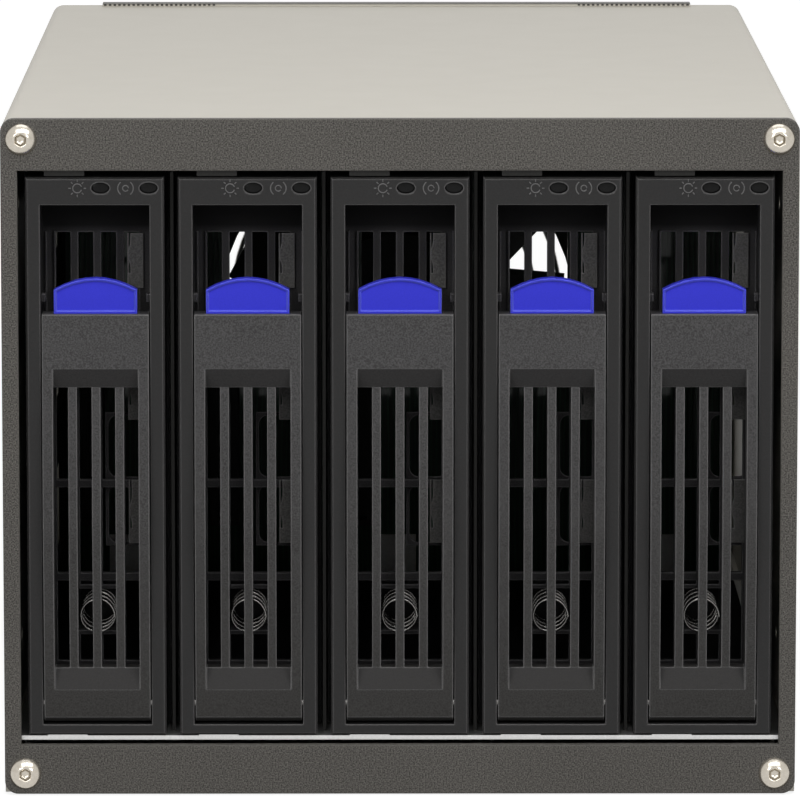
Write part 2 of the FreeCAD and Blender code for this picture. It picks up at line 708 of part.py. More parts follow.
def tray_sled():
    body = new_body("tray_sled")
    add(body, "XZ", "BezelBack", "WallBack", rectangle("-SledHalf", "SledHalf", "TrayBottom", "TrayTop"))
    columns = [f"{column}*WallPitch" for column in (-1.5, -0.5, 0.5, 1.5)]
    ribs = [f"TrayBottom + WallRibFirst + {rib}*WallRibPitch" for rib in range(2)]
    lows = ["TrayBottom + WallSlotFoot"] + [f"{rib} + WallRibHeight/2" for rib in ribs]
    highs = [f"{rib} - WallRibHeight/2" for rib in ribs] + ["TrayTop - WallSlotHead"]
    cut(body, "XZ", "BezelBack", "WallBack", *[
        rectangle(f"{x} - WallSlotWidth/2", f"{x} + WallSlotWidth/2", low, high)
        for x in columns for low, high in zip(lows, highs)])
    cut(body, "XZ", "BezelBack", "WallBack", *[
        rectangle(f"{x} - PipeWidth/2 - PipeFit", f"{x} + PipeWidth/2 + PipeFit",
                  "PipeHigh - PipeRadius - PipeFit", "PipeHigh + PipeRadius + PipeFit")
        for x in pipe_x])
    cut(body, "XZ", "BezelBack", "WallBack", *[
        rectangle("-SnapWidth/2 - SnapFit", "SnapWidth/2 + SnapFit",
                  f"{root} - SnapFit", f"{root} + SnapThickness + SnapFit")
        for root in snap_roots])
    add(body, "YZ", "-SledHalf", "DriveLeft", rectangle("WallBack", "SledEnd", "TrayBottom", "TrayTop"))
    cut(body, "YZ", "-SledHalf", "DriveLeft", *side_windows)
    for low, high in (("TrayBottom", "TrayBottom + RailThickness"), ("TrayTop - RailThickness", "TrayTop")):
        add(body, "XY", low, high, rectangle("DriveLeft", "SledHalf", "WallBack", "SledEnd"))
        cut(body, "XY", low, high, *[
            rectangle("DriveHoleX - DriveSlotWidth/2", "DriveHoleX + DriveSlotWidth/2",
                      f"{y} - DriveSlotLength/2", f"{y} + DriveSlotLength/2")
            for y in ("DriveRear - DriveHoleRear", "DriveRear - DriveHoleRear - DriveHoleSpan")])
    grooves = [(f"{x} - GuideStripWidth/2 - PipeFit", f"{x} + GuideStripWidth/2 + PipeFit") for x in pipe_x]
    cut(body, "XY", "TrayTop - GuideStripHeight - 2*PipeFit", "TrayTop", *[
        rectangle(left, right, "WallBack", "SledEnd") for left, right in grooves])
    cut(body, "XY", "TrayTop - RailThickness", "TrayTop", *[
        rectangle(left, right, "WallBack", "WallBack + GuideStripBlock + PipeFit")
        for left, right in grooves])
    add(body, "XZ", "BezelBack", "CupEndY + CupEnd", square("0", "SpringZ", "(CupHalf + CupWall)"))
    cut(body, "XZ", "BezelBack", "CupEndY", square("0", "SpringZ", "CupHalf"))
    return body


def light_pipes():
    """Two smoked rods that show at the bezel, each with a flat strip along the sled's top rail."""
    rods = []
    for x in pipe_x:
        rod = new_body("light_pipe")
        add(rod, "XZ", "BezelFront + PipeSunk", "WallBack", oval(x, "PipeHigh", "PipeWidth", "PipeHeight"))
        left = f"{x} - GuideStripWidth/2"
        right = f"{x} + GuideStripWidth/2"
        add(rod, "XZ", "WallBack", "WallBack + GuideStripBlock",
            rectangle(left, right, "PipeHigh - PipeRadius", "TrayTop - PipeFit"))
        add(rod, "XZ", "WallBack + GuideStripBlock", "SledEnd",
            rectangle(left, right, "TrayTop - PipeFit - GuideStripHeight", "TrayTop - PipeFit"))
        rods.append(rod)
    return group("light_pipes", rods)


def lever():
    body = new_body("lever")
    back = "BezelFront + LeverThickness"
    add(body, "YZ", "-LeverWidth/2", "LeverWidth/2", [
        ("BezelFront", "LeverBottom"),
        (back, "LeverBottom"),
        (back, "LeverTop"),
        ("BezelFront", "LeverTop"),
        ("BezelFront - LeverBulge", "LeverKink"),
    ])
    chamfer(body, "LeverFootChamfer",
            lambda edge: on_front(edge, "BezelFront") and near(edge.BoundBox.Center.z, "LeverBottom"))
    outside = "BezelFront - 2*LeverBulge"
    floor_high = "BezelFront + GrilleDepth - (LeverTop - GrilleTop)*LeanHigh"
    floor_low = "BezelFront + GrilleDepth - (GrilleBottom - LeverBottom)*LeanLow"
    cut(body, "YZ", "-GrilleWidth/2", "GrilleWidth/2", [
        (outside, "HeadBlockFoot"),
        (outside, "FootBlockHead"),
        ("BezelFront - (FootBlockHead - LeverBottom)*LeanLow", "FootBlockHead"),
        (floor_low, "GrilleBottom"),
        ("BezelFront + GrilleDepth - LeverBulge", "LeverKink"),
        (floor_high, "GrilleTop"),
        ("BezelFront - (LeverTop - HeadBlockFoot)*LeanHigh", "HeadBlockFoot"),
    ])
    cut(body, "XZ", "BezelFront + GrilleBack", back,
        rectangle("-GrilleWidth/2", "GrilleWidth/2", "GrilleBottom", "GrilleTop"))
    slots = [f"{slot}*(GrilleSlot + GrilleBarWidth)" for slot in (-1.5, -0.5, 0.5, 1.5)]
    cut(body, "XZ", outside, back, *[
        rectangle(f"{x} - GrilleSlot/2", f"{x} + GrilleSlot/2", "GrilleBottom", "GrilleTop") for x in slots])
    cut(body, "XZ", "BezelFront + ButtonWallFront", back,
        rectangle("-PocketHalf", "PocketHalf", "PocketFoot", "LeverTop"))
    cut(body, "XZ", "WingFront - ButtonFit/2", "WingFront + WingThickness + ButtonFit/2",
        rectangle("-PocketHalf - WingReach", "PocketHalf + WingReach", "PocketFoot", wing_stop))
    cut(body, "YZ", "-LeverWidth/2", "LeverWidth/2", sided("PinY", "PinZ", "PinRadius + PinFit", 12))
    return body


wing_stop = "ButtonFoot + WingHeight + ButtonFit/2"


def lever_pin():
    body = new_body("lever_pin")
    add(body, "YZ", "-WindowHalf - PinSeat", "WindowHalf + PinSeat", sided("PinY", "PinZ", "PinRadius", 12))
    return body


def latch_button():
    """An arched tab with two wings that run in the lever's grooves, and a slot for its spring."""
    body = new_body("latch_button")
    add(body, "XZ", "ButtonFront", "ButtonBack", arched("ButtonWidth/2", "ButtonFoot", "0"))
    cut(body, "XZ", "ButtonFront", "ButtonFront + ButtonDish",
        arched("(ButtonWidth/2 - ButtonRim)", "LeverTop + ButtonRim", "ButtonRim"))
    reach = "(ButtonWidth/2 + WingReach)"
    add(body, "XZ", "WingFront", "WingFront + WingThickness",
        rectangle(minus(reach), reach, "ButtonFoot", "ButtonFoot + WingHeight"))
    seat = "(ButtonSpringHalf + ButtonFit)"
    cut(body, "XZ", f"ButtonSpringY - {seat}", "ButtonBack",
        rectangle(minus(seat), seat, "ButtonFoot", "ButtonFoot + ButtonSpringRise"))
    return body


def arched(half, foot, inset):
    """A tab's outline whose arch is drawn in eight straight runs, drawn in by an inset from the full tab."""
    points = [(minus(half), foot), (half, foot)]
    for step in range(4, -5, -1):
        x = f"{step/4}*{half}"
        points.append((x, f"ButtonShoulder - {inset} + ButtonArch*(1 - ({x})^2/(ButtonWidth/2)^2)"))
    return points


def lever_spring():
    half_wire = value("LeverSpringWire/2")
    front = value("BezelFront + GrilleBack + SpringGap") + half_wire
    end = value("CupEndY") - half_wire - value("PinFit")
    middle = value("SpringZ")
    return coil("lever_spring", "LeverSpring", front, end, lambda a, b, c: FreeCAD.Vector(a, c, middle + b))


def button_spring():
    seat = value("PinFit") + value("ButtonSpringWire/2")
    foot = value("PocketFoot") + seat
    head = value("ButtonFoot + ButtonSpringRise") - seat
    middle = value("ButtonSpringY")
    return coil("button_spring", "ButtonSpring", foot, head, lambda a, b, c: FreeCAD.Vector(a, middle + b, c))


tray_pieces = (tray_bezel, tray_sled, light_pipes, lever, lever_pin, lever_spring, latch_button,
               button_spring)
for draw in tray_pieces:
    piece = draw()
    nodes += [group(f"{draw.__name__}_{bay}", [copy_of(piece, x=bay_x(bay))]) for bay in BAYS]

# Backplane: a board across the bays, a drive connector for each tray, and plugs for the cables behind.
board = new_body("backplane_board")
add(board, "XZ", "BoardFront", "BoardRear", rectangle("-BoardHalf", "BoardHalf", "BoardFoot", "BoardHead"))
vent_low = "BoardHead - BoardVentTop - BoardVentHeight"
cut(board, "XZ", "BoardFront", "BoardRear", *[
    rectangle(f"{bay_x(bay)} - BoardVentWidth/2", f"{bay_x(bay)} + BoardVentWidth/2",
              vent_low, "BoardHead - BoardVentTop")
    for bay in BAYS[1:-1]])
cut(board, "XZ", "BoardFront", "BoardRear", *[
    rectangle(f"{x} - BoardTabWidth/4 - SnapFit", f"{x} + BoardTabWidth/4 + SnapFit",
              *lug_span(*face, "SnapFit"))
    for x in board_lug_x for face in guide_faces])
nodes.append(board)

socket = new_body("drive_connector")
add(socket, "XZ", "DriveRear + MateGap", "BoardFront", rectangle(
    "ConnectorX - ConnectorWidth/2", "ConnectorX + ConnectorWidth/2",
    "ConnectorZ - ConnectorLength/2", "ConnectorZ + ConnectorLength/2"))
cut(socket, "XZ", "DriveRear + MateGap", "BoardFront - PlugFloor", rectangle(
    "ConnectorX - TongueSlotWidth", "ConnectorX + TongueSlotWidth",
    "ConnectorZ - ConnectorLength/2 + PlugWall", "ConnectorZ + ConnectorLength/2 - PlugWall"))
add(socket, "XZ", "DriveRear + MateGap + PlugWall", "BoardFront - PlugFloor", rectangle(
    "ConnectorX - TongueSlotWidth", "ConnectorX - TongueSlotWidth/4",
    "ConnectorZ - ConnectorLength/4", "ConnectorZ + ConnectorLength/2 - PlugWall"))
nodes.append(group("drive_connectors", [copy_of(socket, x=bay_x(bay)) for bay in BAYS]))


def cable_plug(label, length, width, depth):
    """An open shell on the board's back, with a tongue in it for the cable's plug."""
    body = new_body(label)
    across = f"{width}/2"
    along = f"{length}/2"
    add(body, "XZ", "BoardRear", f"BoardRear + {depth}",
        rectangle(minus(across), across, minus(along), along))
    cut(body, "XZ", "BoardRear + PlugFloor", f"BoardRear + {depth}",
        rectangle(f"PlugWall - {across}", f"{across} - PlugWall",
                  f"PlugWall - {along}", f"{along} - PlugWall"))
    add(body, "XZ", "BoardRear + PlugFloor", f"BoardRear + {depth} - PlugWall",
        rectangle("-PlugWall/2", "PlugWall/2", f"2*PlugWall - {along}", f"{along} - 2*PlugWall"))
    return body


data_plug = cable_plug("data_plug", "DataPlugLength", "DataPlugWidth", "DataPlugDepth")
power_plug = cable_plug("power_plug", "PowerPlugLength", "PowerPlugWidth", "PowerPlugDepth")
nodes.append(group("data_connectors", [
    copy_of(data_plug, x="PlugShift", z=f"FanZ + ({bay} - (BayCount + 1)/2)*DataPlugPitch") for bay in BAYS]))
nodes.append(group("power_connectors", [
    copy_of(power_plug, x="-PlugShift", z=f"FanZ + {end}*PowerPlugPitch/2") for end in (-1, 1)]))

# Rear panel: a plate with the fan's opening and two cable windows, and a lip that laps the cover's roof.
panel = new_body("rear_panel")
add(panel, "XZ", "PanelFront", "CaseRear", rounded("-CaseHalf", "CaseHalf", "0", "CaseHeight", "BendRadius"))
add(panel, "XY", "CaseHeight - SheetThickness", "CaseHeight + LapThickness",
    rectangle("-LapWidth/2", "LapWidth/2", "PanelFront", "CaseRear"))
add(panel, "XY", "CaseHeight", "CaseHeight + LapThickness",
    rectangle("-LapWidth/2", "LapWidth/2", "CaseRear - LapLength", "PanelFront"))
fan_corners = ("-FanHoleHalf", "FanHoleHalf")
fan_screw_places = [(x, f"FanZ + {z}") for x in fan_corners for z in fan_corners]
panel_screw_places = [(x, z) for x in panel_screw_x for z in (panel_screw_low, panel_screw_high)]
cut(panel, "XZ", "PanelFront", "CaseRear",
    sided("0", "FanZ", "FanBore/2", 48),
    *[sided(x, z, "FanHoleRadius", 8) for x, z in fan_screw_places],
    *[sided(x, z, "HoleRadius", 8) for x, z in panel_screw_places],
    *[rectangle(f"{x} - CableWindowWidth/2", f"{x} + CableWindowWidth/2",
                "FanZ - CableWindowHeight/2", "FanZ + CableWindowHeight/2")
      for x in ("-PlugShift", "PlugShift")])
nodes.append(panel)

# Fan: a square moulded frame with a round duct, struts to the motor plate, and a bladed rotor.
fan = new_body("fan_frame")
fan.setExpression("Placement.Base.z", bound("FanZ"))
fan_half = "FanWidth/2"
fan_flat = "(FanWidth/2 - FanCorner)"
add(fan, "XZ", "FanFront", "PanelFront", [
    (minus(fan_flat), minus(fan_half)),
    (fan_flat, minus(fan_half)),
    (fan_half, minus(fan_flat)),
    (fan_half, fan_flat),
    (fan_flat, fan_half),
    (minus(fan_flat), fan_half),
    (minus(fan_half), fan_flat),
    (minus(fan_half), minus(fan_flat)),
])
cut(fan, "XZ", "FanFront", "PanelFront", sided("0", "0", "FanBore/2", 48))
cut(fan, "XZ", "FanFront", "PanelFront", *[
    sided(x, z, "FanHoleRadius", 8) for x in fan_corners for z in fan_corners])
strut_end = "(FanBore/2 + GuardWire/2)"
add(fan, "XZ", "MotorFront", "PanelFront",
    rectangle(minus(strut_end), strut_end, "-StrutWidth/2", "StrutWidth/2"))
add(fan, "XZ", "MotorFront", "PanelFront",
    rectangle("-StrutWidth/2", "StrutWidth/2", minus(strut_end), strut_end))
add(fan, "XZ", "MotorFront", "PanelFront", sided("0", "0", "MotorRadius", 24))
cut(fan, "XZ", "MotorFront", "PanelFront - MotorThickness/3", disc("0", "0", "ShaftRadius + ShaftFit"))
nodes.append(fan)

rotor = new_body("fan_rotor")
rotor.Placement.Rotation = FreeCAD.Rotation(FreeCAD.Vector(0, 1, 0), value("RotorTurn"))
rotor.setExpression("Placement.Base.z", bound("FanZ"))
add(rotor, "XZ", "HubFront", "HubBack", sided("0", "0", "HubRadius", 28))
add(rotor, "XZ", "HubBack", "PanelFront - MotorThickness/2", disc("0", "0", "ShaftRadius"))
blade = add(rotor, "XY", "BladeRoot", "BladeTip", [
    ("-BladeSweep - BladeThickness/2", "HubFront"),
    ("BladeThickness/2 - BladeSweep", "HubFront"),
    ("BladeSweep + BladeThickness/2", "HubBack"),
    ("BladeSweep - BladeThickness/2", "HubBack"),
])
blades = rotor.newObject("PartDesign::PolarPattern", "Blades")
blades.Originals = [blade]
blades.Axis = ([item for item in rotor.Origin.OriginFeatures if item.Role == "Y_Axis"][0], [""])
blades.Angle = 360
blades.setExpression("Occurrences", "Sizes.BladeCount")
rotor.Tip = blades
nodes.append(rotor)

# Fan guard: flat rings on two crossed arms that end in the screw eyes.
guard = new_body("fan_guard")
guard.setExpression("Placement.Base.z", bound("FanZ"))
guard_rear = "CaseRear + GuardThickness"
add(guard, "XZ", "CaseRear", guard_rear, sided("0", "0", "GuardCentre", 24))
for ring in range(1, round(value("GuardRings")) + 1):
    middle = f"(GuardCentre + {ring}*GuardRingPitch)"
    add(guard, "XZ", "CaseRear", guard_rear,
        sided("0", "0", f"{middle} + GuardWire/2", 24), sided("0", "0", f"{middle} - GuardWire/2", 24))
slant = "GuardWire*sqrt(2)/4"
for sign in ("", "-"):
    x = f"({sign}FanHoleHalf)"
    add(guard, "XZ", "CaseRear", guard_rear, [
        (f"{minus(x)} - {sign}{slant}", f"{slant} - FanHoleHalf"),
        (f"{minus(x)} + {sign}{slant}", f"-FanHoleHalf - {slant}"),
        (f"{x} + {sign}{slant}", f"FanHoleHalf - {slant}"),
        (f"{x} - {sign}{slant}", f"FanHoleHalf + {slant}"),
    ])
add(guard, "XZ", "CaseRear", guard_rear, *[
    square(x, z, "GuardEye/2") for x in fan_corners for z in fan_corners])
cut(guard, "XZ", "CaseRear", guard_rear, *[
    sided(x, z, "FanHoleRadius", 8) for x in fan_corners for z in fan_corners])
nodes.append(guard)


# Fasteners: one screw of each kind, drawn with its seat at the origin and its head towards -Y, and
# copied to its holes.
def screw(label, shank_radius):
    body = new_body(label)
    add(body, "XZ", "0", "ScrewLength", sided("0", "0", shank_radius, 8))
    return body


def pan_screw(label, shank_radius, head_radius):
    body = screw(label, shank_radius)
    add(body, "XZ", "-PanHeight", "0", sided("0", "0", head_radius, 12))
    return body


dome_screw = screw("dome_screw", "ScrewRadius")
add(dome_screw, "XZ", "-DomeHeight", "0", sided("0", "0", "DomeRadius", 16))
chamfer(dome_screw, "DomeRound", lambda edge: on_front(edge, "-DomeHeight"))
cut(dome_screw, "XZ", "-DomeHeight", "SocketDepth - DomeHeight", sided("0", "0", "SocketWidth/2", 6))
nodes.append(group("front_screws", [
    copy_of(dome_screw, x, "CaseFront", z)
    for x in frame_screw_x for z in ("FrameScrewInset", "FrameScrewHigh")]))

half_turn = (FreeCAD.Vector(0, 0, 1), 180)
panel_screw = pan_screw("panel_screw", "ScrewRadius", "PanRadius")
nodes.append(group("panel_screws", [
    copy_of(panel_screw, x, "CaseRear", z, half_turn) for x, z in panel_screw_places]))
fan_screw = pan_screw("fan_screw", "FanScrewRadius", "FanScrewHead")
nodes.append(group("fan_screws", [
    copy_of(fan_screw, x, guard_rear, z, half_turn) for x, z in fan_screw_places]))

doc.recompute()

# Every object must have built, every pocket must have cut, and every piece must be whole solids.
for item in doc.Objects:
    if {"Invalid", "Error"} & set(item.State):
        raise RuntimeError(f"{item.Name} of {item.Label} did not build")
    if item.TypeId == "PartDesign::Pocket" and item.Shape.Volume >= item.BaseFeature.Shape.Volume:
        raise RuntimeError(f"{item.Name} cuts nothing")
os.makedirs("parts", exist_ok=True)
for node in nodes:
    shape = node.Shape
    if shape.isNull() or not shape.isValid() or not shape.Solids:
        raise RuntimeError(f"{node.Label} is not a whole solid")
for node in nodes:
    node.Shape.exportStep(f"parts/{node.Label}.step")
print(len(nodes), "nodes")
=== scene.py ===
from math import cos, pi, sin

import bpy
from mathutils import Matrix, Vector


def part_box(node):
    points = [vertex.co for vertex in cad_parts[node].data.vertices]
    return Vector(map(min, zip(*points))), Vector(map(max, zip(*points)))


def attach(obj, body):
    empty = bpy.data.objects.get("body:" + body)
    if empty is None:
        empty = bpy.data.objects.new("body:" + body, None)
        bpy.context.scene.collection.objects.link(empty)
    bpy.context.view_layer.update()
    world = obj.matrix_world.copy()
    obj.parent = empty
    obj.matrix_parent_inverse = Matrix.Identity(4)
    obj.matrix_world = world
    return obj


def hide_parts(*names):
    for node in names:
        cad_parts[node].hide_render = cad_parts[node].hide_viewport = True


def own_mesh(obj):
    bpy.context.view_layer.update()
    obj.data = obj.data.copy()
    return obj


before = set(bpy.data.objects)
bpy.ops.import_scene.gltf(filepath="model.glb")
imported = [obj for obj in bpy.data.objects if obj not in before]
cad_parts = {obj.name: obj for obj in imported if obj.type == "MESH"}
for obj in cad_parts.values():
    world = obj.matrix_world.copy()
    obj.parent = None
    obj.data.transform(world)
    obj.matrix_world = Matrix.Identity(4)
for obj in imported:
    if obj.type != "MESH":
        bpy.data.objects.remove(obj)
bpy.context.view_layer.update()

MM = 0.001
BAYS = range(1, 6)


# Camera: a long lens well in front of the cage and a little above it, so that the roof shows as a
# narrow band over the five trays.
front_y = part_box("front_frame")[0].y
camera = bpy.data.objects.new("camera", bpy.data.cameras.new("camera"))
bpy.context.collection.objects.link(camera)
camera.data.sensor_width = 36
camera.data.lens = 328.1
camera.data.clip_end = 20
camera.location = (-4.7 * MM, front_y - 1.350, 277 * MM)
aim = Vector((0, front_y, 75.1 * MM))
camera.rotation_euler = (aim - camera.location).to_track_quat("-Z", "Y").to_euler()
bpy.context.scene.camera = camera


# Studio: a pale floor and a plain white room, with a wide soft lamp overhead, one close above the front
# and one on each side in front. The floor and the room look white, also in reflections, and light the
# cage much less than that.
class Wire:
    """A value on its way through a node tree. Arithmetic on it adds Math nodes."""

    def __init__(self, tree, end=None):
        self.tree = tree
        self.end = end

    def node(self, kind, settings=None, sockets=None, output=0):
        """Add a node, put its settings in first, then give its sockets their values or links."""
        made = self.tree.nodes.new(f"ShaderNode{kind}")
        for name, item in (settings or {}).items():
            if name == "stops":
                for place, colour in item[1:-1]:
                    made.color_ramp.elements.new(place)
                for stop, (place, colour) in zip(made.color_ramp.elements, item):
                    stop.position = place
                    stop.color = (*colour, 1)
            else:
                setattr(made, name, item)
        for name, item in (sockets or {}).items():
            if isinstance(item, Wire):
                self.tree.links.new(item.end, made.inputs[name])
            else:
                made.inputs[name].default_value = item
        return Wire(self.tree, made.outputs[output] if made.outputs else None)

    def maths(self, operation, first, second):
        """A Math node on two values or wires."""
        return self.node("Math", {"operation": operation}, {0: first, 1: second})

    def __add__(self, other):
        return self.maths("ADD", self, other)

    def __radd__(self, other):
        return self.maths("ADD", other, self)

    def __sub__(self, other):
        return self.maths("SUBTRACT", self, other)

    def __rsub__(self, other):
        return self.maths("SUBTRACT", other, self)

    def __mul__(self, other):
        return self.maths("MULTIPLY", self, other)

    def __rmul__(self, other):
        return self.maths("MULTIPLY", other, self)


def seen_directly(wire):
    """1 for rays from the eye, from a mirror or through glass, and 0 for soft light."""
    paths = [wire.node("LightPath", output=name) for name in ("Is Camera Ray", "Is Glossy Ray")]
    through = wire.node("LightPath", output="Is Transmission Ray")
    return wire.maths("MINIMUM", paths[0] + paths[1] + through, 1)


world = bpy.data.worlds.new("room")
world.use_nodes = True
bpy.context.scene.world = world
world.node_tree.nodes.clear()
room = Wire(world.node_tree)
soft_level = 0.12
room_light = room.node("Background", sockets={
    "Color": (1, 0.995, 0.985, 1),
    "Strength": seen_directly(room) * (1 - soft_level) + soft_level,
})
room.node("OutputWorld", sockets={"Surface": room_light})

floor_reach, floor_drop = 6, 0.0003
floor_corners = [(x * floor_reach, y * floor_reach, -floor_drop)
                 for x, y in ((-1, -1), (1, -1), (1, 1), (-1, 1))]
floor_mesh = bpy.data.meshes.new("floor")
floor_mesh.from_pydata(floor_corners, [], [(0, 1, 2, 3)])
floor = bpy.data.objects.new("floor", floor_mesh)
bpy.context.collection.objects.link(floor)
floor_finish = bpy.data.materials.new("floor_white")
floor_finish.use_nodes = True
floor_finish.node_tree.nodes.clear()
paper = Wire(floor_finish.node_tree)
spot = paper.node("TexCoord", output="Object")
away = paper.node("VectorMath", {"operation": "LENGTH"}, {0: spot}, output="Value")
far = paper.node("MapRange", {"interpolation_type": "SMOOTHSTEP"},
                 {"Value": away, "From Min": 0.3, "From Max": 1.6})
floor_glow = paper.node("Emission", sockets={
    "Color": (1, 1, 1, 1),
    "Strength": seen_directly(paper) * (far * 0.16 + 0.82),
})
floor_matt = paper.node("BsdfDiffuse", sockets={"Color": (0.35, 0.35, 0.35, 1)})
floor_look = paper.node("AddShader", sockets={0: floor_glow, 1: floor_matt})
paper.node("OutputMaterial", sockets={"Surface": floor_look})
floor_mesh.materials.append(floor_finish)


def soft_lamp(name, place, target, width, height, power):
    """A rectangular lamp, in metres and watts, that faces a target."""
    lamp = bpy.data.lights.new(name, "AREA")
    lamp.shape = "RECTANGLE"
    lamp.size = width
    lamp.size_y = height
    lamp.energy = power
    holder = bpy.data.objects.new(name, lamp)
    holder.location = place
    holder.rotation_euler = (Vector(target) - Vector(place)).to_track_quat("-Z", "Y").to_euler()
    bpy.context.collection.objects.link(holder)


soft_lamp("lamp_over", (0, 0.20, 0.95), (0, 0.05, 0.1), 0.8, 0.8, 2.6)
soft_lamp("lamp_key", (0.04, -0.42, 0.56), (0, -0.1, 0.07), 0.8, 0.25, 2.1)
soft_lamp("lamp_left", (-0.62, -1.25, 0.56), (0, -0.1, 0.06), 0.5, 0.3, 3.4)
soft_lamp("lamp_right", (0.70, -1.15, 0.52), (0, -0.1, 0.06), 0.4, 0.3, 3.0)
bpy.context.scene.view_settings.view_transform = "Standard"


# Front frame: a steel plate in a fine textured powder coat, dark warm grey, fixed by four button-head
# screws.
def start_finish(name):
    """A new material, the wire that its nodes grow from, and the place on the piece in millimetres."""
    material = bpy.data.materials.new(name)
    material.use_nodes = True
    material.node_tree.nodes.clear()
    wire = Wire(material.node_tree)
    place = wire.node("TexCoord", output="Object")
    place = wire.node("VectorMath", {"operation": "SCALE"}, {0: place, "Scale": 1000.0})
    return material, wire, place


def soft_edges(wire, radius):
    """The normal with edges rounded by a radius in millimetres, and a share that is 1 along them."""
    normal = wire.node("Bevel", {"samples": 6}, {"Radius": radius * MM})
    flat = wire.node("NewGeometry", output="Normal")
    alike = wire.node("VectorMath", {"operation": "DOT_PRODUCT"}, {0: normal, 1: flat}, output="Value")
    return normal, ramp(wire, alike, 0.99, 0.90)


def close_finish(wire, sockets, height=None, depth=0.02, normal=None):
    """The shader itself. height is a wire for the relief and depth its size in millimetres."""
    sockets = dict(sockets)
    if height is not None:
        relief = {"Height": height, "Distance": depth * MM, "Strength": 1.0}
        if normal:
            relief["Normal"] = normal
        normal = wire.node("Bump", sockets=relief)
    if normal:
        sockets["Normal"] = normal
    shader = wire.node("BsdfPrincipled", sockets=sockets)
    wire.node("OutputMaterial", sockets={"Surface": shader})


def noise(wire, place, scale, detail=2.0, rough=0.5):
    """Even noise whose lumps are about 1/scale millimetres across."""
    return wire.node("TexNoise", sockets={
        "Vector": place, "Scale": scale, "Detail": detail, "Roughness": rough})


def blend(wire, share, first, second):
    """A colour that goes from the first to the second as share goes from 0 to 1."""
    ends = {6: first, 7: second}
    for socket, colour in ends.items():
        ends[socket] = colour if isinstance(colour, Wire) else (*colour, 1)
    return wire.node("Mix", {"data_type": "RGBA"}, {0: share, **ends}, output=2)


def ramp(wire, share, low, high):
    """Share stretched so that low becomes 0 and high becomes 1."""
    return wire.node("MapRange", sockets={"Value": share, "From Min": low, "From Max": high})


def give(material, *names):
    """Put a finish on carried-over pieces, by the start of their names."""
    for name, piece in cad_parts.items():
        if name in names or name.rstrip("_12345") in names:
            piece.data.materials.clear()
            piece.data.materials.append(material)


powder, wire, place = start_finish("powder_coat")
grain = noise(wire, place, 3.6, 1.5, 0.6)
cloud = noise(wire, place, 0.035, 1.0)
rounded, edge_highlight = soft_edges(wire, 0.5)
coat = blend(wire, ramp(wire, grain, 0.34, 0.66) * 0.85 + cloud * 0.15,
             (0.020, 0.018, 0.016), (0.175, 0.165, 0.150))
# Painted highlight: the coat turns paler along the frame's edges, for the light that they catch.
close_finish(wire, {
    "Base Color": blend(wire, edge_highlight * 0.35, coat, (0.17, 0.16, 0.145)),
    "Roughness": 0.50 + grain * 0.2,
    "Specular IOR Level": 0.25,
}, grain, 0.035, rounded)
give(powder, "front_frame")


def mesh_piece(name, points, faces, material, body, smooth=False, round_edge=0.0):
    """A piece from points in millimetres that moves with a body."""
    mesh = bpy.data.meshes.new(name)
    mesh.from_pydata([Vector(point) * MM for point in points], [], faces)
    mesh.update()
    mesh.materials.append(material)
    if smooth:
        mesh.shade_smooth()
    else:
        mesh.shade_flat()
    piece = bpy.data.objects.new(name, mesh)
    bpy.context.collection.objects.link(piece)
    if round_edge:
        bevel = piece.modifiers.new("round", "BEVEL")
        bevel.width = round_edge * MM
        bevel.segments = 2
        bevel.limit_method = "ANGLE"
    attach(piece, body)
    return piece


def turned(rings, centre, outward, count=48):
    """Points and faces of a turned head. rings are (radius, height) from the rim to the bottom of the
    recess, where radius may be a function of the angle; outward is -1 for a head towards the front."""
    points = []
    for radius, height in rings:
        for step in range(count):
            angle = 2 * pi * step / count
            reach = radius(angle) if callable(radius) else radius
            points.append((centre[0] + reach * cos(angle), centre[1] + outward * height,
                           centre[2] + reach * sin(angle)))
    faces = []
    for ring in range(len(rings) - 1):
        for step in range(count):
            following = (step + 1) % count
            quad = [ring * count + step, ring * count + following,
                    (ring + 1) * count + following, (ring + 1) * count + step]
            faces.append(quad if outward < 0 else quad[::-1])
    last = [(len(rings) - 1) * count + step for step in range(count)]
    faces.append(last if outward < 0 else last[::-1])
    return points, faces


def join(shapes):
    """Several (points, faces) as one."""
    points, faces = [], []
    for more_points, more_faces in shapes:
        start = len(points)
        points += more_points
        faces += [[start + corner for corner in face] for face in more_faces]
    return points, faces


nickel, wire, place = start_finish("screw_nickel")
scuff = noise(wire, place, 1.6, 3.0)
rounded, edge_highlight = soft_edges(wire, 0.12)
close_finish(wire, {
    "Base Color": blend(wire, scuff, (0.46, 0.42, 0.36), (0.60, 0.56, 0.49)),
    "Metallic": 1.0,
    "Roughness": 0.13 + scuff * 0.12,
}, noise(wire, place, 5.0), 0.004, rounded)

case_half, case_height = 74.5, 128.0
screw_inset = 3.85
head_radius, head_height = 3.0, 1.7
socket_flat = 1.0


def hexagon(angle):
    """How far the socket's wall is from its middle at an angle."""
    return socket_flat / cos((angle + pi / 6) % (pi / 3) - pi / 6)


dome_sphere = (head_radius ** 2 + head_height ** 2) / (2 * head_height)
dome = [(head_radius * 0.999, 0.0)]
for step in range(1, 9):
    reach = head_radius * (1 - 0.066 * step)
    dome.append((reach, head_height - dome_sphere + (dome_sphere ** 2 - reach ** 2) ** 0.5))
dome += [(socket_flat * 1.28, dome[-1][1] + 0.02), (hexagon, dome[-1][1] - 0.12),
         (hexagon, head_height - 1.1), (0.35, head_height - 1.35)]
heads = join([
    turned(dome, (x * (case_half - screw_inset), front_y / MM, z), -1)
    for x in (-1, 1) for z in (screw_inset, case_height - screw_inset)])
front_heads = mesh_piece("front_screw_heads", *heads, nickel, "cage", smooth=True)
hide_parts("front_screws")


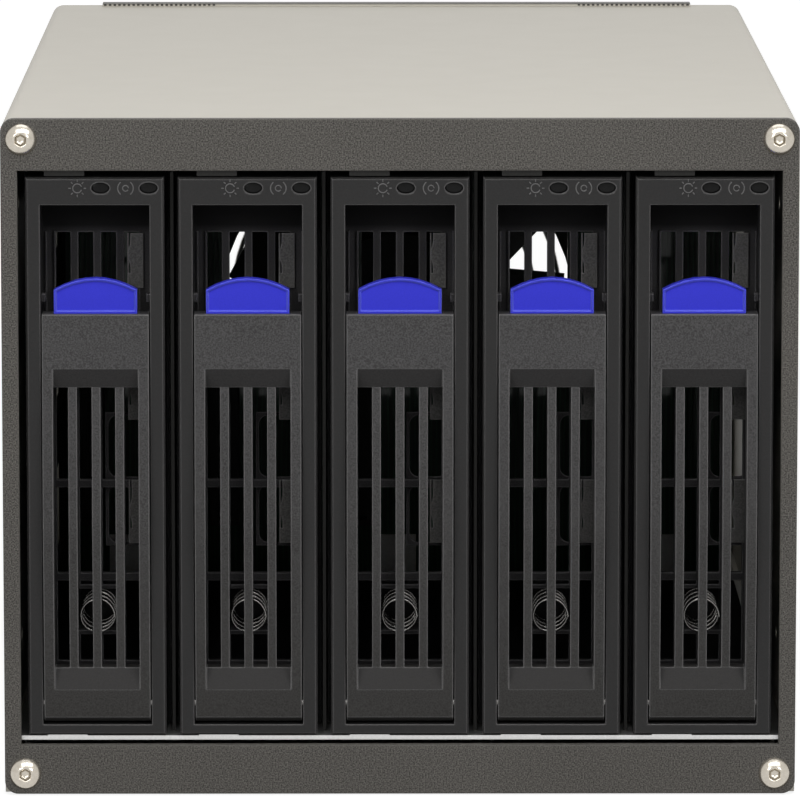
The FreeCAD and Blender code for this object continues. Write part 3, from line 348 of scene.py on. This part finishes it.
# Case: folded zinc-coated steel sheet with a matt, faintly mottled skin. The rear panel laps the roof
# with a thin lip, dark on top, whose front edge is finely toothed at both ends.
def sheet(name, lip=None):
    """Zinc-coated sheet, which turns dark above the height of the lip."""
    material, wire, place = start_finish(name)
    mottle = noise(wire, place, 0.12, 3.0)
    fine = noise(wire, place, 3.0, 2.0)
    skin = blend(wire, mottle, (0.50, 0.475, 0.42), (0.535, 0.51, 0.455))
    if lip:
        height = wire.node("SeparateXYZ", sockets={"Vector": place}, output="Z")
        skin = blend(wire, ramp(wire, height, lip - 0.25, lip - 0.15), skin, (0.12, 0.115, 0.105))
    close_finish(wire, {
        "Base Color": skin,
        "Metallic": 0.2,
        "Roughness": 0.42 + fine * 0.12,
        "Specular IOR Level": 0.3,
    }, fine, 0.006, soft_edges(wire, 0.2)[0])
    return material


lap_half, lap_front, lap_top = 63.5, 108.5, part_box("rear_panel")[1].z / MM
give(sheet("case_sheet"), "top_cover", "base_pan")
give(sheet("panel_sheet", lap_top), "rear_panel")


def block(low, high):
    """The points and faces of one straight-sided block."""
    points = [(x, y, z) for x in (low[0], high[0]) for y in (low[1], high[1]) for z in (low[2], high[2])]
    return points, [[0, 1, 3, 2], [4, 6, 7, 5], [0, 4, 5, 1], [2, 3, 7, 6], [0, 2, 6, 4], [1, 5, 7, 3]]


# Painted shade: the lip's teeth are dark blocks, darker than the lip, standing for the shaded gap of the
# toothed edge.
painted_gap_shade, wire, place = start_finish("painted_gap_shade")
close_finish(wire, {
    "Base Color": blend(wire, noise(wire, place, 2.0), (0.03, 0.028, 0.026), (0.06, 0.056, 0.05)),
    "Roughness": 0.8,
})
tooth_pitch, tooth_wide, tooth_tall, teeth = 1.02, 0.55, 0.45, 24
tooth_top = lap_top - 0.05
comb = []
for side in (-1, 1):
    for tooth in range(teeth):
        x = side * (lap_half - 0.6 - tooth * tooth_pitch)
        comb.append(block((x - tooth_wide / 2, lap_front - 0.06, tooth_top - tooth_tall),
                          (x + tooth_wide / 2, lap_front + 0.1, tooth_top)))
mesh_piece("lap_teeth", *join(comb), painted_gap_shade, "cage")


# Guides and dividers: thin sheet with faint rolling lines from front to rear. The floor guide is bright
# zinc; the roof guide and the dividers are zinc painted nearly black, as painted shade behind the frame.
zinc, wire, place = start_finish("zinc_sheet")
stretched = wire.node("Mapping", sockets={"Vector": place, "Scale": (1.0, 0.04, 1.0)})
lines = noise(wire, stretched, 2.2, 3.0)
close_finish(wire, {
    "Base Color": blend(wire, lines, (0.56, 0.56, 0.55), (0.76, 0.76, 0.75)),
    "Metallic": 0.85,
    "Roughness": 0.26 + lines * 0.18,
}, lines, 0.006)
give(zinc, "floor_guide")

# Painted shade: the same zinc sheet, nearly black for the shade that it lies in.
painted_shade_zinc, wire, place = start_finish("dark_zinc_sheet")
lines = noise(wire, wire.node("Mapping", sockets={"Vector": place, "Scale": (1.0, 0.04, 1.0)}), 2.2, 3.0)
close_finish(wire, {
    "Base Color": blend(wire, lines, (0.020, 0.020, 0.019), (0.050, 0.049, 0.047)),
    "Metallic": 0.4,
    "Roughness": 0.4 + lines * 0.18,
    "Specular IOR Level": 0.2,
}, lines, 0.006)
give(painted_shade_zinc, "roof_guide", "bay_dividers")


# Trays: black moulded plastic, satin on the bezel and dull on the sled behind it. Thin sprung plates with
# a wavy slit earth the drive's carrier on the right of the sled's front wall, and two catches on the
# bezel's inner sides stop the latch button.
def plastic(name, dark, light, edge, grain_scale, gloss, rough, change=None):
    """Moulded plastic: a fine sparked grain over slow clouds, with the edge colour painted along its edges
    as a highlight. change may paint shade into the colour by the place and the way the surface faces."""
    material, wire, place = start_finish(name)
    grain = noise(wire, place, grain_scale, 1.5, 0.6)
    cloud = noise(wire, place, 0.09, 2.0)
    rounded, edge_highlight = soft_edges(wire, 0.42)
    skin = blend(wire, ramp(wire, grain, 0.33, 0.67) * 0.8 + cloud * 0.2, dark, light)
    if change:
        skin = change(wire, place, skin)
    # Painted highlight: the edge colour along the edges stands for the light caught there.
    close_finish(wire, {
        "Base Color": blend(wire, edge_highlight * 0.8, skin, edge),
        "Roughness": rough + grain * 0.15,
        "Specular IOR Level": gloss,
    }, grain, 0.015, rounded)
    return material


def painted_wall_shade(wire, place, skin):
    """Painted shade: much darker high up, where the bezel's head always shades the wall."""
    height = wire.node("SeparateXYZ", sockets={"Vector": place}, output="Z")
    return blend(wire, ramp(wire, height, 104.8, 106.6) * 0.9, skin, (0.002, 0.002, 0.002))


bezel_plastic = plastic("bezel_plastic", (0.018, 0.018, 0.018), (0.026, 0.025, 0.025), (0.17, 0.165, 0.165),
                        3.2, 0.2, 0.36)
# The sled plastic carries painted shade high on its front wall.
sled_plastic = plastic("sled_plastic", (0.034, 0.033, 0.034), (0.060, 0.058, 0.060), (0.20, 0.195, 0.20),
                       4.0, 0.06, 0.52, painted_wall_shade)
give(bezel_plastic, "tray_bezel")
give(sled_plastic, "tray_sled")

bay_pitch = 28.5
bezel_front, bezel_back, wall_back = -111.5, -99.5, -97.9


def bay_middle(bay):
    return (bay - 3) * bay_pitch


def plate(outline, front, back):
    """A flat plate facing the front, from a counterclockwise outline of (x, z)."""
    count = len(outline)
    points = [(x, y, z) for y in (front, back) for x, z in outline]
    faces = [list(range(count)), list(range(2 * count - 1, count - 1, -1))]
    for corner in range(count):
        following = (corner + 1) % count
        faces.append([corner, corner + count, following + count, following])
    return points, faces


def framed(left, right, low, high, corner, rim, front, back):
    """A flat plate with one window in it, whose corners are round."""
    rings = [[], []]
    for ring, inset, radius in ((rings[0], 0.0, 0.2), (rings[1], rim, corner)):
        for turn in range(4):
            x = (right - inset - radius) if turn in (0, 3) else (left + inset + radius)
            z = (high - inset - radius) if turn in (0, 1) else (low + inset + radius)
            for step in range(7):
                angle = pi / 2 * (turn + step / 6)
                ring.append((x + radius * cos(angle), z + radius * sin(angle)))
    count = len(rings[0])
    points = [(x, y, z) for y in (front, back) for ring in rings for x, z in ring]
    faces = []
    for step in range(count):
        after = (step + 1) % count
        outer, inner, outer_back, inner_back = [
            [ring * count + step, ring * count + after] for ring in range(4)]
        faces += [[outer[0], inner[0], inner[1], outer[1]],
                  [outer_back[0], outer_back[1], inner_back[1], inner_back[0]],
                  [outer[0], outer[1], outer_back[1], outer_back[0]],
                  [inner[0], inner_back[0], inner_back[1], inner[1]]]
    return points, faces


satin_grey = plastic("satin_grey", (0.07, 0.068, 0.066), (0.15, 0.146, 0.142), (0.30, 0.295, 0.29),
                     3.0, 0.2, 0.45)
spring_front = bezel_back - 0.6
finger_left, finger_right, finger_slit, slit_wide, slit_high = 5.7, 8.7, 5.98, 0.3, 7.2
finger_heights = ((94.6, 105.0), (69.5, 80.0), (45.9, 58.0))
frame_heights = ((57.6, 70.6), (45.0, 57.2))
rib_places = ((-9.6, 0.35, 88.0), (-7.95, 0.4, 84.0), (10.1, 0.3, 88.0))
rib_top, catch_reach, catch_half = 105.4, 9.85, 0.4
for bay in BAYS:
    middle = bay_middle(bay)
    fingers = []
    for low, high in finger_heights:
        slit_foot = low + 2.8
        slit_head = min(slit_foot + slit_high, high)
        slit_edge = middle + finger_slit + slit_wide
        outline = [(middle + finger_left, low), (middle + finger_right, low), (middle + finger_right, high),
                   (slit_edge, high)]
        for step in range(13):
            share = step / 12
            bump = (0.5 - 0.5 * cos(2 * pi * share)) ** 2
            outline.append((slit_edge - bump * 0.45, slit_head + (slit_foot - slit_head) * share))
        outline.append((middle + finger_left, slit_foot))
        fingers.append(plate(outline, spring_front, bezel_back - 0.05))
        fingers.append(block((middle + finger_left, spring_front + 0.1, slit_foot + 0.02),
                             (middle + finger_slit, bezel_back - 0.05, high)))
    frames = [framed(middle + 1.25, middle + 9.6, low, high, 1.8, 0.6, wall_back + 0.05, wall_back + 0.6)
              for low, high in frame_heights]
    ribs = [block((middle + x - wide / 2, bezel_back - 0.7, low),
                  (middle + x + wide / 2, bezel_back, rib_top)) for x, wide, low in rib_places]
    ribs += [block((middle + side * catch_reach - catch_half, -107.6, 93.0),
                   (middle + side * catch_reach + catch_half, -105.6, 94.5)) for side in (-1, 1)]
    body = f"tray_{bay}"
    mesh_piece(f"earth_springs_{bay}", *join(fingers), satin_grey, body)
    mesh_piece(f"carrier_frames_{bay}", *join(frames), sled_plastic, body)
    mesh_piece(f"latch_catches_{bay}", *join(ribs), sled_plastic, body, round_edge=0.08)


# Status lights: smoked clear rods that end in an oval lens in the bezel, inside a fine raised rim. A sun
# ring for power and a disc between two arcs for drive activity are moulded beside them.
smoked, wire, place = start_finish("light_pipe")
haze = noise(wire, place, 1.2, 1.0)
close_finish(wire, {
    "Base Color": blend(wire, haze, (0.003, 0.003, 0.003), (0.008, 0.008, 0.008)),
    "Roughness": 0.12 + haze * 0.06,
    "Specular IOR Level": 0.12,
})
give(smoked, "light_pipes")
# Painted highlight: the raised rims are paler than the bezel they are moulded in, for the light they catch.
rim_highlight_plastic = plastic("rim_highlight_plastic", (0.050, 0.049, 0.049), (0.075, 0.073, 0.073), (0.16, 0.157, 0.157),
                      3.0, 0.3, 0.3)
# Painted highlight: the moulded marks are paler than the bezel, for the light that their raised lines
# catch.
mark_highlight_plastic = plastic("mark_highlight_plastic", (0.11, 0.108, 0.108), (0.17, 0.167, 0.167), (0.22, 0.217, 0.217),
                       3.0, 0.3, 0.35)

pipe_high, pipe_wide, pipe_tall, pipe_x = 114.9, 3.4, 2.1, (1.1, 10.1)


def oval_ring(x, z, wide, tall, count=40):
    """Points of an oval, counterclockwise from its right end."""
    turns = [2 * pi * step / count for step in range(count)]
    return [(x + wide / 2 * cos(turn), z + tall / 2 * sin(turn)) for turn in turns]


def stacked(rings):
    """Points and faces through rings of (y, outline)."""
    count = len(rings[0][1])
    points = [(x, y, z) for y, outline in rings for x, z in outline]
    faces = []
    for ring in range(len(rings) - 1):
        for step in range(count):
            following = (step + 1) % count
            faces.append([ring * count + step, ring * count + following,
                          (ring + 1) * count + following, (ring + 1) * count + step])
    return points, faces


def capped(rings):
    """The same, closed over the last ring."""
    points, faces = stacked(rings)
    count = len(rings[0][1])
    faces.append([(len(rings) - 1) * count + step for step in range(count)])
    return points, faces


def raised_line(line, wide):
    """A flat moulded line 0.1 mm proud of the bezel along points of (x, z), with square ends."""
    left, right = [], []
    for index, (x, z) in enumerate(line):
        before, after = line[max(index - 1, 0)], line[min(index + 1, len(line) - 1)]
        run = Vector((after[0] - before[0], after[1] - before[1])).normalized() * wide / 2
        left.append((x - run.y, z + run.x))
        right.append((x + run.y, z - run.x))
    return plate(right + left[::-1], bezel_front - 0.1, bezel_front + 0.05)


def arc_line(x, z, radius, start, finish, count=14):
    """Points along an arc between two angles in degrees."""
    turns = [(start + (finish - start) * step / count) * pi / 180 for step in range(count + 1)]
    return [(x + radius * cos(turn), z + radius * sin(turn)) for turn in turns]


lens_steps = ((0.10, 0.04), (0.35, 0.10), (0.65, 0.14))
rim_steps = ((0.05, 0.42), (-0.07, 0.36), (-0.10, 0.26), (-0.07, 0.12), (0.05, 0.04), (0.5, 0.0))
for bay in BAYS:
    middle = bay_middle(bay)
    lenses, rims = [], []
    for x in pipe_x:
        lens = [(bezel_front + 0.5, oval_ring(middle + x, pipe_high, pipe_wide, pipe_tall))]
        for inset, rise in lens_steps:
            outline = oval_ring(middle + x, pipe_high, pipe_wide - 2 * inset, pipe_tall - 2 * inset)
            lens.append((bezel_front + 0.5 - rise, outline))
        lenses.append(capped(lens))
        rims.append(stacked([
            (bezel_front + depth, oval_ring(middle + x, pipe_high, pipe_wide + grow, pipe_tall + grow))
            for depth, grow in rim_steps]))
    sun, disc = middle - 3.2, middle + 5.8
    marks = [raised_line(arc_line(sun, pipe_high, 0.85, 20, 340), 0.2)]
    for ray in range(8):
        turn = ray * pi / 4
        ends = [(sun + reach * cos(turn), pipe_high + reach * sin(turn)) for reach in (1.2, 1.65)]
        marks.append(raised_line(ends, 0.2))
    marks.append(raised_line(arc_line(disc, pipe_high, 0.55, 0, 330), 0.18))
    for side in (0, 180):
        marks.append(raised_line(arc_line(disc, pipe_high, 1.45, side - 52, side + 52), 0.2))
    body = f"tray_{bay}"
    mesh_piece(f"light_lenses_{bay}", *join(lenses), smoked, body, smooth=True)
    mesh_piece(f"light_rims_{bay}", *join(rims), rim_highlight_plastic, body, smooth=True)
    mesh_piece(f"light_marks_{bay}", *join(marks), mark_highlight_plastic, body)


# Levers: black moulded plastic with a fine, even texture, on a steel pin, with a coil spring behind. The
# sloped ends of the sunk grille are left smooth; they and the lever's foot are painted darker as shade.
def painted_lever_shade(wire, place, skin):
    """Painted shade: darker towards the foot, where less light falls, and smooth and darker on the sloped
    ends of the grille's recess, for the way they face the light.
    """
    height = wire.node("SeparateXYZ", sockets={"Vector": place}, output="Z")
    facing = wire.node("TexCoord", output="Normal")
    facing = wire.node("SeparateXYZ", sockets={"Vector": facing}, output="Z")
    sloped = ramp(wire, facing * facing, 0.12, 0.17) * (1 - ramp(wire, facing * facing, 0.5, 0.6))
    low = 1 - ramp(wire, height, 12.0, 75.0)
    darker = blend(wire, low * 0.6, skin, (0.012, 0.011, 0.008))
    return blend(wire, sloped * 0.75, darker, (0.016, 0.015, 0.015))


lever_plastic = plastic("lever_plastic", (0.030, 0.029, 0.029), (0.092, 0.090, 0.091), (0.26, 0.255, 0.255),
                        3.4, 0.2, 0.42, painted_lever_shade)
give(lever_plastic, "lever")

steel, wire, place = start_finish("spring_steel")
drawn = noise(wire, place, 3.5, 2.0)
close_finish(wire, {
    "Base Color": blend(wire, drawn, (0.16, 0.155, 0.15), (0.30, 0.29, 0.28)),
    "Metallic": 1.0,
    "Roughness": 0.18 + drawn * 0.15,
})
give(steel, "lever_pin")

spring_radius, spring_wire, spring_high = 3.3, 0.5, 33.0
for bay in BAYS:
    low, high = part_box(f"lever_spring_{bay}")
    front = low.y / MM + spring_wire / 2
    back = high.y / MM - spring_wire / 2
    turns, per_turn = 4, 24
    line = bpy.data.curves.new(f"lever_coil_{bay}", "CURVE")
    line.dimensions = "3D"
    line.bevel_depth = spring_wire / 2 * MM
    line.bevel_resolution = 3
    line.use_fill_caps = True
    spline = line.splines.new("POLY")
    count = turns * per_turn + 1
    spline.points.add(count - 1)
    for step in range(count):
        share = step / (count - 1)
        wound = share + 0.06 * sin(2 * pi * share) / (2 * pi)
        angle = 2 * pi * step / per_turn
        spline.points[step].co = (
            (bay_middle(bay) + (spring_radius - 0.02) * cos(angle)) * MM,
            (front + (back - front) * wound) * MM,
            (spring_high + (spring_radius - 0.02) * sin(angle)) * MM, 1)
    line.materials.append(steel)
    coil = bpy.data.objects.new(f"lever_coil_{bay}", line)
    bpy.context.collection.objects.link(coil)
    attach(coil, f"tray_{bay}")
    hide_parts(f"lever_spring_{bay}")


# Latch buttons: moulded in satin blue, with a shallow dish for the fingertip inside a fine rim. Each
# stands on a small steel coil spring in the lever's head.
blue = plastic("button_plastic", (0.042, 0.045, 0.70), (0.048, 0.052, 0.75), (0.17, 0.20, 0.95),
               5.0, 0.2, 0.34)
give(blue, "latch_button")

coil_radius, coil_wire, coil_turns, per_turn, around, press_stroke = 0.7, 0.15, 3.5, 20, 8, 2.2
for bay in BAYS:
    low, high = [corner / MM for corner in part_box(f"button_spring_{bay}")]
    centre_y = (low.y + high.y) / 2
    coil_foot, coil_head = low.z + coil_wire, high.z - coil_wire
    points, faces = [], []
    steps = int(coil_turns * per_turn)
    for step in range(steps + 1):
        angle = 2 * pi * step / per_turn
        rise = coil_foot + (coil_head - coil_foot) * step / steps
        for side in range(around):
            turn = 2 * pi * side / around
            reach = coil_radius + coil_wire * cos(turn)
            points.append((bay_middle(bay) + reach * cos(angle), centre_y + reach * sin(angle),
                           rise + coil_wire * sin(turn)))
        if step:
            before, here = (step - 1) * around, step * around
            for side in range(around):
                after = (side + 1) % around
                faces.append([before + side, before + after, here + after, here + side])
    faces.append(list(range(around))[::-1])
    faces.append([steps * around + side for side in range(around)])
    coil = mesh_piece(f"button_coil_{bay}", points, faces, steel, f"lever_{bay}", smooth=True)
    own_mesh(coil)
    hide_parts(f"button_spring_{bay}")


# Backplane: a circuit board with a green solder mask, connectors for the drives in front, and plugs
# behind. Rows of chips and cans that smooth the supply are soldered to its rear.
mask_green, wire, place = start_finish("circuit_board")
weave = noise(wire, place, 1.5, 2.0)
tracks = wire.node("TexWave", {"wave_type": "BANDS", "bands_direction": "X"},
                   {"Vector": place, "Scale": 0.28, "Distortion": 6.0, "Detail": 1.0, "Detail Scale": 0.1})
close_finish(wire, {
    "Base Color": blend(wire, ramp(wire, tracks, 0.75, 0.8) * 0.7 + weave * 0.3,
                        (0.008, 0.045, 0.022), (0.02, 0.11, 0.05)),
    "Roughness": 0.3 + weave * 0.1,
    "Coat Weight": 0.3,
}, tracks, 0.02)
give(mask_green, "backplane_board")

black_plastic, wire, place = start_finish("black_plastic")
grain = noise(wire, place, 3.0, 2.0)
close_finish(wire, {
    "Base Color": blend(wire, grain, (0.016, 0.016, 0.016), (0.034, 0.034, 0.034)),
    "Roughness": 0.4 + grain * 0.2,
}, grain, 0.01)
give(black_plastic, "drive_connectors", "data_connectors", "power_connectors", "fan_frame", "fan_rotor")

board_rear, chip_pitch, row_pitch, chip_foot = 66.2, 9.3, 9.0, 24.0
chip_sizes = ((5.2, 3.6), (2.4, 1.4), (2.4, 1.4))
can_pitch, can_high = 11.0, 56.0
can_profile = [(2.9, 0.0), (2.9, 0.7), (2.5, 1.1), (2.5, 5.6), (2.3, 5.9), (1.9, 5.85), (0.3, 5.8)]
chips = []
for column in range(-4, 5):
    for row, (wide, tall) in enumerate(chip_sizes):
        x, z = column * chip_pitch + (row - 1) * 1.1, chip_foot + row * row_pitch
        chips.append(block((x - wide / 2, board_rear - 0.05, z - tall / 2),
                           (x + wide / 2, board_rear + tall / 3, z + tall / 2)))
cans = [turned(can_profile, (column * can_pitch, board_rear, can_high), 1, 32) for column in range(-3, 4)]
mesh_piece("board_chips", *join(chips), black_plastic, "cage")
mesh_piece("board_cans", *join(cans), zinc, "cage", smooth=True)


# Fan guard: rings of plated steel wire welded to two crossed wires, with an eye at each corner. Plated
# pan-head screws with a crossed recess hold the guard and the fan, and the rear panel.
plated, wire, place = start_finish("plated_steel")
scuff = noise(wire, place, 1.4, 3.0)
close_finish(wire, {
    "Base Color": blend(wire, scuff, (0.50, 0.50, 0.49), (0.66, 0.66, 0.65)),
    "Metallic": 1.0,
    "Roughness": 0.26 + scuff * 0.16,
}, noise(wire, place, 4.0), 0.005)

fan_high, eye_reach, panel_rear, guard_rear, wire_radius = 64.05, 35.75, 112.5, 113.7, 0.6
guard_curve = bpy.data.curves.new("guard_wires", "CURVE")
guard_curve.dimensions = "3D"
guard_curve.bevel_depth = wire_radius * MM
guard_curve.bevel_resolution = 3
rings = [(0.0, 0.0, radius) for radius in (8.0, 13.5, 19.0, 24.5, 30.0, 35.5)]
rings += [(x * eye_reach, z * eye_reach, 3.4) for x in (-1, 1) for z in (-1, 1)]
for x, z, radius in rings:
    spline = guard_curve.splines.new("POLY")
    spline.points.add(71)
    for step, point in enumerate(spline.points):
        turn = 2 * pi * step / 72
        point.co = ((x + radius * cos(turn)) * MM, (guard_rear - wire_radius) * MM,
                    (fan_high + z + radius * sin(turn)) * MM, 1)
    spline.use_cyclic_u = True
for lean in (-1, 1):
    spline = guard_curve.splines.new("POLY")
    spline.points.add(1)
    for side, point in zip((-1, 1), spline.points):
        reach = (eye_reach - 2.4) * side
        point.co = (reach * MM, (guard_rear - wire_radius) * MM, (fan_high + reach * lean) * MM, 1)
guard_curve.materials.append(plated)
guard = bpy.data.objects.new("guard_wires", guard_curve)
bpy.context.collection.objects.link(guard)
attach(guard, "cage")
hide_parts("fan_guard")


def pan_head(radius, x, front, z):
    """A pan head 1.6 mm high on its shank, with a crossed recess."""
    arm, half = radius * 0.62, radius * 0.13

    def cross(turn):
        across, along = abs(cos(turn)) + 1e-6, abs(sin(turn)) + 1e-6
        return max(min(arm / across, half / along), min(half / across, arm / along))

    profile = [(1.4, -7.0), (1.4, 0.0), (radius * 0.98, 0.0), (radius, 0.5), (radius * 0.95, 1.0),
               (radius * 0.84, 1.4), (radius * 0.72, 1.6), (cross, 1.58), (cross, 0.8), (0.1, 0.5)]
    return turned(profile, (x, front, z), 1, 96)


panel_screw_places = [(x, z) for x in (-68.5, 68.5) for z in (4.8, 105.4)]
fan_screw_places = [(x * eye_reach, fan_high + z * eye_reach) for x in (-1, 1) for z in (-1, 1)]
for name, old, radius, front, places in (
        ("panel_screw_heads", "panel_screws", 2.8, panel_rear, panel_screw_places),
        ("fan_screw_heads", "fan_screws", 3.4, guard_rear, fan_screw_places)):
    rear_heads = join([pan_head(radius, x, front, z) for x, z in places])
    rear_heads = mesh_piece(name, *rear_heads, plated, "cage")
    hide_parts(old)
